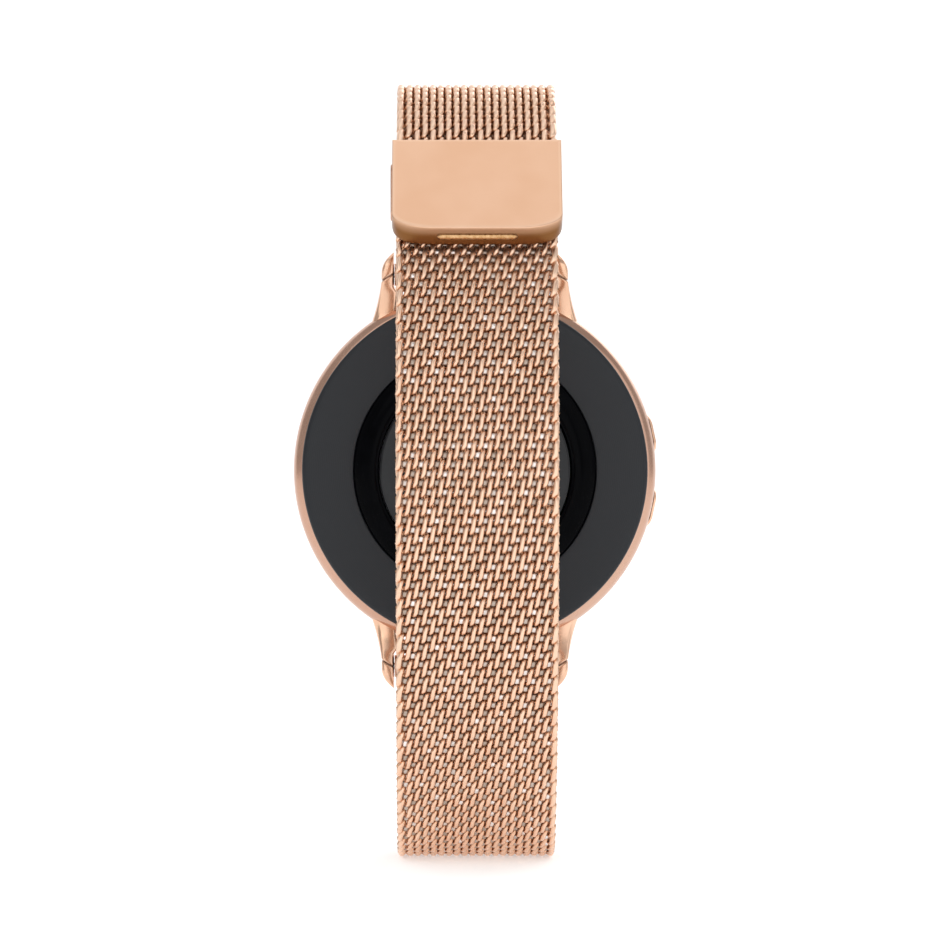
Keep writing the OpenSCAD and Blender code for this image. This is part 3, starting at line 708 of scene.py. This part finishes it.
def makeBand():
    # coils set one rise apart along the route, spread as 1 + stretch times a bell curve near the clasp;
    # the pieces part at the joints, and those that lie across a joint bend between its two bodies
    along, points, normals, marks = routePoints()
    route = (along, points, normals)
    w = weave
    first, last = band["tubeR"] + 0.75, marks["end"] - 0.6
    bottom, hinge = marks["bottom"], marks["end"] - 3.0 - 0.95
    count = int(round((last - first) / w["rise"])) - 1
    even = np.linspace(first, last, count * 8)
    near = np.exp(-((even - marks["end"] + 4.6) / 1.6) ** 2)
    pace = np.cumsum(1 / (1 + (w["mouthStretch"] - 1) * near))
    places = np.interp(np.linspace(pace[0], pace[-1], count + 1), pace, even)
    spacing = np.gradient(places)
    cuts = dict(
        wovenBack=(0, bottom - 9), wovenBottom=(bottom - 9, bottom + 9),
        wovenFrontLower=(bottom + 9, bottom + 62), wovenFrontUpper=(bottom + 62, marks["fold"] - 3),
        wovenTail=(marks["fold"] - 3, hinge - 4), wovenClaspEnd=(hinge - 4, marks["end"]))
    made = {}
    for number, (name, (low, high)) in enumerate(cuts.items()):
        inside = np.nonzero((places >= low) & (places < high))[0]
        made[name] = weavePiece(name, route, places[inside], spacing[inside], 40 + number,
                                inside[0] % 2, inside[0] > 0)
    for name, body, node in (("wovenBack", "band_back", "long_strap_back"),
                             ("wovenFrontLower", "band_front", "long_strap_front"),
                             ("wovenFrontUpper", "band_front", "long_strap_front"),
                             ("wovenTail", "band_front", "long_strap_tail")):
        place(made[name], body, "rose_gold_mesh", node)

    at = lambda s: tuple(onRoute(route, np.array(0.0), np.array(s), np.array(0.0)))
    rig.blend(made["wovenBottom"], "band_back", "band_front", start=at(bottom - 6), end=at(bottom + 6))
    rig.blend(made["wovenClaspEnd"], "band_front", "clasp", start=at(hinge - 2.6), end=at(hinge + 0.9))
    for name, node in (("wovenBottom", "long_strap_front"), ("wovenClaspEnd", "clasp_mesh_end")):
        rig.slot(made[name], "rose_gold_mesh")
        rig.replaces(made[name], node)
    along, points, normals, length = shortRoute()
    places = np.arange(band["tubeR"] + 0.7, length - 1.25 - 0.5, w["rise"])
    short = weavePiece("wovenShort", (along, points, normals), places, 0 * places + w["rise"], 50, 0, False)
    place(short, "band_short", "rose_gold_mesh", "short_strap")


# the clasp

def claspPoint(x, u, w):
    # u up the band and w away from it, in the clasp's own frame, to metres
    d = clasp["base"][0] + u * clasp["up"][0] + w * clasp["off"][0]
    h = clasp["base"][1] + u * clasp["up"][1] + w * clasp["off"][1]
    return np.stack([x + 0 * d, d - band["depth"] / 2, h + case["middle"]], -1) * mm


def claspOutline(low, cornerX, cornerU, square, inset=0.0, mouthIn=0.0):
    # the plan: a straight mouth and sides, and a free end whose corners are quarter ovals;
    # the mouth's points within the slot go back by mouthIn
    c = clasp
    slotHalf, across, down, corner, flat = 9.15, 28, 10, 22, 12
    half, mouth = c["width"] / 2 - inset, c["mouth"] - inset
    low = low + inset
    t = np.linspace(0, 1, across)
    slotX = slotHalf * np.cos(np.pi * t) * np.abs(np.cos(np.pi * t)) ** -0.3
    mouthX = np.clip(np.concatenate([[half], slotX, [-half]]), -half, half)
    mouthU = np.full(len(mouthX), mouth)
    mouthU[1:-1] -= mouthIn
    sideU = np.linspace(mouth, low + cornerU, down + 2)[1:-1]
    q = np.linspace(0, np.pi / 2, corner)
    cx = half - cornerX + cornerX * np.abs(np.cos(q)) ** square
    cu = low + cornerU - cornerU * np.sin(q) ** square
    flatX = np.linspace(-(half - cornerX), half - cornerX, flat + 2)[1:-1]
    x = np.concatenate([mouthX, np.full(down, -half), -cx, flatX, cx[::-1], np.full(down, half)])
    u = np.concatenate([mouthU, sideU, cu, np.full(flat, low), cu[::-1], sideU[::-1]])
    return x, u


def makeClasp():
    # outlines stacked from the underside to the face; the sloping end runs from the wide lower
    # outline to the shorter upper one, and the mesh's slot is pushed back into the mouth
    c = clasp
    foot = c["mouth"] - c["length"]
    top = c["gap"] + c["height"]
    lowArgs = (foot, 5.1, 3.7, 0.64)
    highArgs = (foot + c["bevel"], 4.7, 2.1, 1.0)
    levels = []

    def level(share, w, inset=0.0, mouthIn=0.0, edge=0.0, bulge=0.0):
        # an outline this share of the way from the lower to the upper one; edge is a painted highlight, and shade
        # paints the sloping end darker down the slope, painted shade
        xl, ul = claspOutline(*lowArgs, inset, mouthIn)
        xh, uh = claspOutline(*highArgs, inset, mouthIn)
        sloping = np.clip((foot + 3.9 - ul) / 0.8, 0, 1)
        x, u = xl + (xh - xl) * share, ul + (uh - ul) * share - bulge * sloping
        # painted shade: darker down the sloping end, fading out at the face's edge
        shade = sloping * np.clip(12 * (1 - share), 0, 1) * np.clip(0.5 + 0.9 * (1 - share), 0, 1)
        levels.append((claspPoint(x, u, np.full(len(x), w)), np.full(len(x), edge), shade))

    slotLow, slotHigh = c["meshLow"] - 0.07, c["meshLow"] + band["thick"] + 0.06
    bevelLow = c["gap"] + c["toe"]
    shareAt = lambda w: np.clip((w - bevelLow) / (top - bevelLow), 0, 1)
    level(0, c["gap"], 0.25)
    level(0, c["gap"], 0.08)
    level(0, c["gap"] + 0.08, 0.0)
    level(0, slotLow, 0.0)
    level(shareAt(slotLow + 0.001), slotLow + 0.001, 0.0, 3.2)
    for w in np.linspace(bevelLow, slotHigh, 7)[:-1]:
        level(shareAt(w), w, 0.0, 3.2, 0.0, 0.04 * np.sin(np.pi * shareAt(w)))
    level(shareAt(slotHigh), slotHigh, 0.0, 3.2)
    level(shareAt(slotHigh + 0.001), slotHigh + 0.001)
    radius = c["rounding"]
    # the face's rounded edge, carrying a painted highlight that grows towards the face
    for q in np.linspace(0, 1, 8) * np.pi / 2:
        w = top - radius + radius * np.sin(q)
        level(shareAt(w), w, radius * (1 - np.cos(q)), 0.0, 0.3 * np.sin(q) ** 2)
    level(1, top, radius + 0.3)
    x, u = claspOutline(*highArgs, radius + 0.3)
    none = np.zeros(len(x))
    centreU = (foot + c["bevel"] + c["mouth"]) / 2
    for k in (0.75, 0.5, 0.25, 0.02):
        levels.append((claspPoint(x * k, centreU + (u - centreU) * k, top + 0.03 * (1 - k)), none, none))
    x, u = claspOutline(*lowArgs, 0.25)
    centreU = (foot + c["mouth"]) / 2
    for k in (0.6, 0.02):
        levels.insert(0, (claspPoint(x * k, centreU + (u - centreU) * k, c["gap"]), none, none))
    # edge holds the painted highlight and slope the painted shade of each point
    points, edge, slope = (np.stack(v) for v in zip(*levels))
    rows, columns = points.shape[:2]
    ends = np.stack([np.arange(columns)[::-1], np.arange(columns) + (rows - 1) * columns])
    faces = [quads(rows, columns, False, True), ends]
    shell = addMesh("claspShell", points, faces, [finishes["clasp"]], edge=edge, slope=slope)
    facingOutByVolume(shell)
    softenAngles(shell, 0.55)
    place(shell, "clasp", "rose_gold_clasp", "clasp_shell")


def makeFingerBar():
    # a bar with a rounded section and round ends, lying along the middle of the sloping face, and round
    # it a thin dark sheet, a painted shadow of the slot under the bar
    c = clasp
    foot, rows = c["mouth"] - c["length"], 24
    tilt = np.arctan2(c["height"] - c["toe"], c["bevel"])
    t = np.linspace(-1, 1, rows)[:, None]
    a = np.linspace(0, 2 * np.pi, 16, endpoint=False)[None]
    squared = lambda v: np.sign(v) * np.abs(v) ** 0.7
    ends = np.stack([np.arange(16)[::-1], np.arange(16) + (rows - 1) * 16])
    long = c["barLength"] / 2
    # the second piece is a dark sheet barely proud of the slope: a painted shadow
    for name, half, high, thick, finish in (("claspFingerBar", long, 0.33, 0.26, "bar"),
                                            ("claspBarShadowSheet", long + 0.2, 0.48, 0.045, "seat")):
        closing = np.clip((1 - np.abs(t)) * half / high, 0, 1)
        size = np.sqrt(np.clip(1 - (1 - closing) ** 2, 0.0004, 1))
        along = c["barUp"] + high * size * squared(np.cos(a))
        out = 0.02 + thick * size * squared(np.sin(a))
        u = foot + along * np.cos(tilt) - out * np.sin(tilt)
        w = c["gap"] + c["toe"] + along * np.sin(tilt) + out * np.cos(tilt)
        bar = addMesh(name, claspPoint(half * t + 0 * a, u, w), [quads(rows, 16, False, True), ends],
                      [finishes[finish]])
        facingOutByVolume(bar)
        place(bar, "clasp", "rose_gold_clasp")
        if finish == "bar":
            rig.replaces(bar, "clasp_finger_bar")


# the case

lugs = dict(
    inner=9.75, outer=11.3, rootInner=9.2,     # across, from the middle of the watch
    root=17.6, bar=23.7, tip=24.6, tipR=1.9,   # along, from the case's axis
    rootLow=3.1, rootHigh=8.6, tipHeight=3.5,  # over the top of the sensor dome
    flare=1.35, taper=1.5,                     # how much wider the root is, and narrower the tip
    creaseUp=0.35, creaseWide=0.14, creaseDeep=0.12)
buttons = dict(
    angle=12.0, length=4.6, width=2.3, height=5.85,
    out=0.42, crown=0.36, seat=0.92,           # how far they stand out, fall away and lie sunk
    stem=0.78, depth=4.3)


def pillDistance(x, y, length, width):
    # distance outside a bar with round ends, lying along y
    return np.hypot(x, np.maximum(np.abs(y) - (length - width) / 2, 0)) - width / 2


def makeCaseRing():
    # the case's rounded outline turned round its axis; a shallow seat for each button is pressed into it
    r = case["radius"]
    outline = [[20.2, 2.2], [20.95, 2.2], [21.75, 3.1], [21.99, 4.3], [21.99, 7.8], [21.75, 8.8],
               [21.25, 9.9], [20.62, 9.95], [20.55, 9.3], [20.0, 9.2], [20.0, 2.35]]
    profile = cutCorners(outline, 3)
    longest = 0.16
    nextPoint = np.roll(profile, -1, 0)
    pieces = [np.linspace(a, b, max(1, int(np.ceil(np.hypot(*(b - a)) / longest))), endpoint=False)
              for a, b in zip(profile, nextPoint)]
    profile = np.vstack(pieces)
    fine, coarse = np.radians(25.0), np.pi
    angle = np.concatenate([np.linspace(-fine, fine, 420, endpoint=False),
                            np.linspace(fine, 2 * coarse - fine, 260, endpoint=False)])
    x = profile[None, :, 0] * np.cos(angle)[:, None]
    y = profile[None, :, 0] * np.sin(angle)[:, None]
    h = np.broadcast_to(profile[None, :, 1], x.shape)
    radius = np.hypot(x, y)
    sunk = np.zeros_like(x)
    for side in (-1, 1):
        turn = side * np.radians(buttons["angle"])
        alongEdge = (angle[:, None] - turn) * r
        across = h - buttons["height"]
        gap = pillDistance(across, alongEdge, buttons["length"] + 0.3, buttons["width"] + 0.3)
        sunk = np.maximum(sunk, buttons["seat"] * np.clip(0.5 - gap / 0.10, 0, 1))
    outside = radius > 21.0
    scale = np.where(outside, (radius - sunk) / radius, 1.0)
    points = np.stack([x * scale, case["back"] + h, case["middle"] + y * scale], -1) * mm
    ring = addMesh("caseRing", points, [quads(*x.shape, True, True)], [finishes["case"]])
    facingOutByVolume(ring)
    softenAngles(ring, 0.5)
    place(ring, "case", "rose_gold_case", "case_body")


def makeLugs():
    # sections across each lug, from inside the case's rim to the round tip: the outer side flares into
    # the rim, the inner side thickens near it, and a fine slanted crease crosses it near the spring bar,
    # painted dark along its line as painted shade
    g = lugs
    straight = np.linspace(g["root"], g["tip"] - 0.2, 110)
    d = np.concatenate([straight, g["tip"] + g["tipR"] * np.sin(np.linspace(-0.1, np.pi / 2, 26))])
    past = np.clip((d - g["tip"]) / g["tipR"], 0, 1)
    roundTip = np.sqrt(np.clip(1 - past ** 2, 1e-6, 1))
    climb = np.clip((d - 18.5) / (g["tip"] - 18.5), 0, 1)
    ease = climb * climb * (3 - 2 * climb)
    low = g["rootLow"] + (g["tipHeight"] - g["tipR"] - g["rootLow"]) * ease
    high = g["rootHigh"] + (g["tipHeight"] + g["tipR"] - g["rootHigh"]) * (climb ** 1.5)
    middle, half = (low + high) / 2, (high - low) / 2
    middle = middle + (g["tipHeight"] - middle) * (1 - roundTip)
    half = half * roundTip
    flare = np.clip((24.2 - d) / 6.6, 0, 1)
    outer = g["outer"] + g["flare"] * flare ** 1.8 - g["taper"] * np.clip((d - 24.2) / 2.2, 0, 1) ** 1.8
    a = np.linspace(0, 2 * np.pi, 48, endpoint=False)
    squared = lambda v, e: np.sign(v) * np.abs(v) ** e
    root = np.clip((22.2 - d) / 0.9, 0, 1)
    inside = g["inner"] + 0.02 + (g["rootInner"] - g["inner"]) * root * root * (3 - 2 * root)
    xMid, xHalf = (outer + inside) / 2, (outer - inside) / 2
    x = xMid[:, None] + xHalf[:, None] * squared(np.cos(a), 0.35)[None]
    h = middle[:, None] + half[:, None] * squared(np.sin(a), 0.45)[None]
    off = (d - g["bar"] + g["creaseUp"])[:, None]
    dd = d[:, None] - 0.5 * (x - 10.5) * np.exp(-(off / 1.3) ** 2)
    # crease: the groove's share at each point, which the lug finish also paints dark as painted shade
    crease = np.exp(-(off / g["creaseWide"]) ** 2) + 0 * x
    groove = g["creaseDeep"] * crease
    h = h + groove * (h < middle[:, None])
    x = x - groove * (x > xMid[:, None])
    made, start = [], 0
    rows, columns = x.shape
    grid = quads(rows, columns, False, True)
    ends = np.stack([np.arange(columns)[::-1], np.arange(columns) + (rows - 1) * columns])
    faceSets, capSets = [], []
    for sx in (-1, 1):
        for sz in (-1, 1):
            corner = np.stack([sx * x, case["back"] + h, case["middle"] + sz * dd], -1)
            made.append(corner.reshape(-1, 3) * mm)
            flip = sx * sz < 0
            faceSets.append((grid[:, ::-1] if flip else grid) + start)
            capSets.append((ends[:, ::-1] if flip else ends) + start)
            start += rows * columns
    thing = addMesh("caseLugs", np.vstack(made), [np.vstack(faceSets), np.vstack(capSets)],
                    [finishes["lug"]], crease=np.tile(crease.ravel(), 4))
    facingOutByVolume(thing)
    softenAngles(thing, 0.7)
    place(thing, "case", "rose_gold_case")


def makeButtons():
    # a domed bar: pill outlines stacked outwards and closing over the top, on a round stem; the face
    # falls away by crown times (way to the end) squared
    b = buttons
    r = case["radius"]
    levels = [(-0.45, 0.35), (-0.42, 0.25), (-0.12, 0.06), (b["out"] - 0.3, 0.0)]
    quarter = np.linspace(0.2, np.pi / 2, 8)
    levels += [(b["out"] - 0.3 + 0.28 * np.sin(q), 0.5 * (1 - np.cos(q))) for q in quarter]
    levels += [(b["out"] - 0.01, 0.7), (b["out"], 0.9), (b["out"], 1.1)]
    sections = [(-b["depth"], 0.02, 0), (-b["depth"], b["stem"], 0), (-0.46, b["stem"], 0)]
    sections += [(out, b["width"] / 2 - inset, (b["length"] - b["width"]) / 2) for out, inset in levels]
    q = np.linspace(-np.pi / 2, np.pi / 2, 24)
    for name, side in (("homeButton", 1), ("backButton", -1)):
        rows = []
        for out, w, l in sections:
            px = np.concatenate([w * np.cos(q + np.pi / 2), -w * np.cos(q + np.pi / 2)])
            py = np.concatenate([l + w * np.sin(q + np.pi / 2), -l - w * np.sin(q + np.pi / 2)])
            turn = -side * np.radians(b["angle"])
            radial = r + out - b["crown"] * (py / (b["length"] / 2)) ** 2 * (out > 0)
            x = radial * np.cos(turn) - py * np.sin(turn)
            z = radial * np.sin(turn) + py * np.cos(turn)
            rows.append(np.stack([x, case["back"] + b["height"] + px, case["middle"] + z], -1))
        points = np.array(rows) * mm
        n, m = points.shape[:2]
        ends = np.stack([np.arange(m)[::-1], np.arange(m) + (n - 1) * m])
        thing = addMesh(name, points, [quads(n, m, False, True), ends], [finishes["lug"]])
        facingOutByVolume(thing)
        softenAngles(thing, 0.5)
        node = "home_button" if side > 0 else "back_button"
        place(thing, node, "rose_gold_case", node)


def makeBack():
    # rear cover, sensor ring and window: outlines of one section turned round the case's axis
    cover = cutCorners([[13.7, 2.0], [14.62, 1.98], [14.64, 1.20], [14.9, 1.16], [17.5, 1.17], [20.3, 1.20],
                        [20.85, 1.42], [20.9, 2.0], [20.2, 2.05], [19.8, 2.9], [17.4, 2.0]], 2)
    place(facingOut(spun("rearCover", cover, finishes["cover"])), "case", "rear_cover", "rear_cover")
    x = np.linspace(0, 1, 14)
    dome = np.stack([11.66 + 0.35 + 2.62 * x, 1.16 * x ** 2.2 + 0.012], -1)
    inside = [[11.62, 2.0], [11.62, 0.5], [11.66, 0.25], [11.78, 0.08]]
    ring = np.vstack([inside, dome, [[14.62, 1.25], [13.5, 1.3], [13.5, 2.0]]])
    place(facingOut(spun("sensorRing", ring, finishes["gloss"])), "case", "sensor_black", "sensor_ring")
    t = np.linspace(0, 1, 12)
    centre = np.stack([11.2 * t, 0.13 + 0.03 * t ** 2], -1)
    window = np.vstack([centre, [[11.45, 0.2], [11.52, 0.35], [11.52, 0.9], [0, 0.9]]])
    lens = facingOut(spunDisc("sensorWindow", window, finishes["window"]))
    place(lens, "case", "sensor_glass", "sensor_window")


def makeGlass():
    # the front glass: flat, with a quarter-round edge
    r, top = case["radius"] - case["glassInset"], case["thickness"]
    q = np.linspace(0, np.pi / 2, 12)
    outline = np.vstack([[[0, top - 1.5], [r - 0.05, top - 1.5], [r, top - 1.42]],
                         np.stack([r - 1.1 + 1.1 * np.cos(q), top - 1.1 + 1.1 * np.sin(q)], -1),
                         [[r * 0.6, top], [r * 0.3, top], [0, top]]])
    glass = facingOut(spunDisc("frontGlass", outline, finishes["glass"]))
    place(glass, "case", "cover_glass", "cover_glass")


# finishes for every piece

axis = (0.0, case["back"] * mm, case["middle"] * mm)
finishes = dict(
    wire=wireGold(), rod=rodSteel(), clasp=claspGold(),
    # one case metal in two tones: the ring, end links and buckle ring painted darker as painted shade, the lugs and
    # buttons lighter as painted light
    case=caseGold("shadedCaseRoseGold", (0.56, 0.335, 0.245), (0.64, 0.41, 0.31)),
    lug=caseGold("litLugRoseGold", (0.78, 0.485, 0.33), (0.86, 0.56, 0.40)),
    cover=turned("rearCoverGrey", (0.013, 0.0150, 0.0185), (0.019, 0.0215, 0.026), 0.36, 0.00022, axis,
                 0.0000015, Specular_IOR_Level=0.3),
    gloss=plain("glossBlack", (0.0008, 0.0009, 0.0014), (0.0014, 0.0016, 0.0024), 0.20, 500.0,
                depth=0.0000004, Specular_IOR_Level=0.03),
    window=plain("tintedWindow", (0.007, 0.0075, 0.009), (0.010, 0.0110, 0.0135), 0.12, 700.0,
                 depth=0.0000005, Specular_IOR_Level=0.3),
    glass=plain("blackGlass", (0.004, 0.004, 0.005), (0.006, 0.006, 0.008), 0.08, 150.0,
                depth=0.0000005, Coat_Weight=1.0),
    bar=plain("barGold", (0.50, 0.27, 0.11), (0.80, 0.52, 0.28), 0.30, 2500.0, metal=1.0, depth=0.000004),
    seat=plain("seatShadow", (0.16, 0.075, 0.035), (0.26, 0.13, 0.06), 0.45, 2500.0, metal=1.0),
    steel=plain("brightSteel", (0.60, 0.61, 0.63), (0.72, 0.72, 0.73), 0.24, 1500.0, metal=1.0,
                depth=0.000002),
    rubber=plain("sealRubber", (0.010, 0.010, 0.010), (0.020, 0.020, 0.020), 0.75, 2500.0),
    foil=plain("pouchFoil", (0.09, 0.09, 0.10), (0.16, 0.16, 0.17), 0.38, 350.0, metal=0.8, depth=0.00004),
    ferrite=plain("coilFerrite", (0.020, 0.020, 0.022), (0.040, 0.038, 0.036), 0.65, 3000.0),
    nickel=plain("nickelPlate", (0.45, 0.44, 0.42), (0.60, 0.59, 0.57), 0.22, 800.0, metal=1.0),
    flex=plain("flexAmber", (0.25, 0.10, 0.02), (0.36, 0.16, 0.04), 0.35, 1200.0),
    epoxy=plain("sensorEpoxy", (0.02, 0.08, 0.04), (0.06, 0.16, 0.08), 0.15, 1800.0, Coat_Weight=0.6),
    panel=plain("darkPanel", (0.003, 0.003, 0.004), (0.006, 0.006, 0.007), 0.2, 5000.0),
    copper=turned("woundCopper", (0.42, 0.16, 0.07), (0.80, 0.38, 0.20), 0.28, 0.00035, axis, 0.00004,
                  metal=1.0),
    board=board())

kept = dict(
    rear_gasket="rubber", sensor_board="board", light_sensors="epoxy", charging_coil="copper",
    coil_shield="ferrite", battery="foil", main_board="board", chip_shields="steel",
    inner_bracket="steel", bracket_screws="steel", vibration_motor="steel", speaker="gloss",
    microphone="steel", button_switches="steel", button_seals="rubber", display_panel="panel",
    display_flex="flex", display_gasket="rubber", home_button_clip="steel", back_button_clip="steel",
    lower_spring_bar="steel", lower_bar_spring="steel", lower_fixed_pin="steel",
    upper_spring_bar="steel", upper_bar_spring="steel", upper_fixed_pin="steel",
    ring_link="case", clasp_base_plate="steel", clasp_magnets="nickel")


def paintKept():
    # each CAD node that is shown as it is gets its own finish
    for name, finish in kept.items():
        mesh = nodes[name].data
        mesh.materials.clear()
        mesh.materials.append(finishes[finish])


# stage, light and camera

stage = dict(half=2.2, wall=1.5, bend=0.6, up=1.8)


def makeStage():
    # a floor that curves up into a wall: straight, a quarter circle, straight
    s = stage
    a = np.linspace(0, np.pi / 2, 24)
    y = np.concatenate([[-s["half"]], s["wall"] - s["bend"] + s["bend"] * np.sin(a), [s["wall"]]])
    z = np.concatenate([[0], s["bend"] * (1 - np.cos(a)), [s["up"]]])
    x = np.linspace(-s["half"], s["half"], 9)[:, None]
    points = np.stack([x + 0 * y, y + 0 * x, z + 0 * x], -1)
    f = Finish("paleFloor", Roughness=0.7)
    f.feed(Base_Color=f.mix(f.noise(3.0), (0.93, 0.93, 0.93), (0.95, 0.95, 0.95)))
    f.shader.inputs["Emission Color"].default_value = (1, 1, 1, 1)
    f.shader.inputs["Emission Strength"].default_value = 0.42
    floor = addMesh("floor", points, [quads(9, len(y))[:, ::-1]], [f.material])
    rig.stage(floor)


lamps = dict(                # place and size in metres, power in watts
    front=dict(at=(0.1, -1.3, 0.25), size=1.1, power=3.6),
    key=dict(at=(-0.45, -0.75, 0.75), size=0.7, power=1.1),
    fill=dict(at=(0.75, -0.45, 0.35), size=0.7, power=0.9),
    top=dict(at=(0.0, 0.05, 1.0), size=0.9, power=1.6),
    rear=dict(at=(0.35, 0.85, 0.55), size=0.6, power=1.2))


def makeLight():
    # soft square lamps, each turned towards the middle of the loop, in an even white surround
    target = Vector((0, 0, case["middle"] * mm))
    for name, lamp in lamps.items():
        data = bpy.data.lights.new(name, "AREA")
        data.size, data.energy = lamp["size"], lamp["power"]
        thing = bpy.data.objects.new(name, data)
        bpy.context.scene.collection.objects.link(thing)
        thing.location = lamp["at"]
        thing.rotation_euler = (target - Vector(lamp["at"])).to_track_quat("-Z", "Y").to_euler()
    world = bpy.data.worlds.new("studio")
    world.use_nodes = True
    world.node_tree.nodes["Background"].inputs[0].default_value = (1.0, 1.0, 1.0, 1.0)
    world.node_tree.nodes["Background"].inputs[1].default_value = 0.48
    bpy.context.scene.world = world


def makeCamera():
    # level with the middle of the loop, looking at the clasp side from a hair to the left
    data = bpy.data.cameras.new("viewer")
    data.lens, data.sensor_width = 192.4, 36.0
    thing = bpy.data.objects.new("viewer", data)
    bpy.context.scene.collection.objects.link(thing)
    aside, away, turn = -0.0037, 0.5893, 0.0055
    thing.location = (aside, -away, case["middle"] * mm - 0.0002)
    thing.rotation_euler = (np.pi / 2, 0, -turn)
    data.clip_start, data.clip_end = 0.01, 20
    bpy.context.scene.camera = thing


makeCamera()
makeStage()
makeLight()
bpy.context.scene.view_settings.view_transform = "Standard"
print("stage, light and camera are ready")
makeBand()
print("the woven band is made")
makeClasp()
makeFingerBar()
print("the clasp is made")
makeCaseRing()
makeLugs()
makeButtons()
makeBack()
makeGlass()
paintKept()
print("the case is made")
roundedCopy("lowerEndLink", "lower_end_link", "band_back", "rose_gold_case", finishes["case"], 0.12)
roundedCopy("upperEndLink", "upper_end_link", "band_short", "rose_gold_case", finishes["case"], 0.12)
roundedCopy("buckleRing", "buckle_ring", "ring", "rose_gold_case", finishes["case"], 0.12)
roundedCopy("lowerReleasePin", "lower_release_pin", "lower_release", "steel", finishes["steel"], 0.06)
roundedCopy("upperReleasePin", "upper_release_pin", "upper_release", "steel", finishes["steel"], 0.06)
print("the strap ends and the ring are made")
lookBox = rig.bounds()
with open("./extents.json", "w") as out:
    json.dump({"cad": [list(v) for v in cadBox], "visual": [list(v) for v in lookBox]}, out)
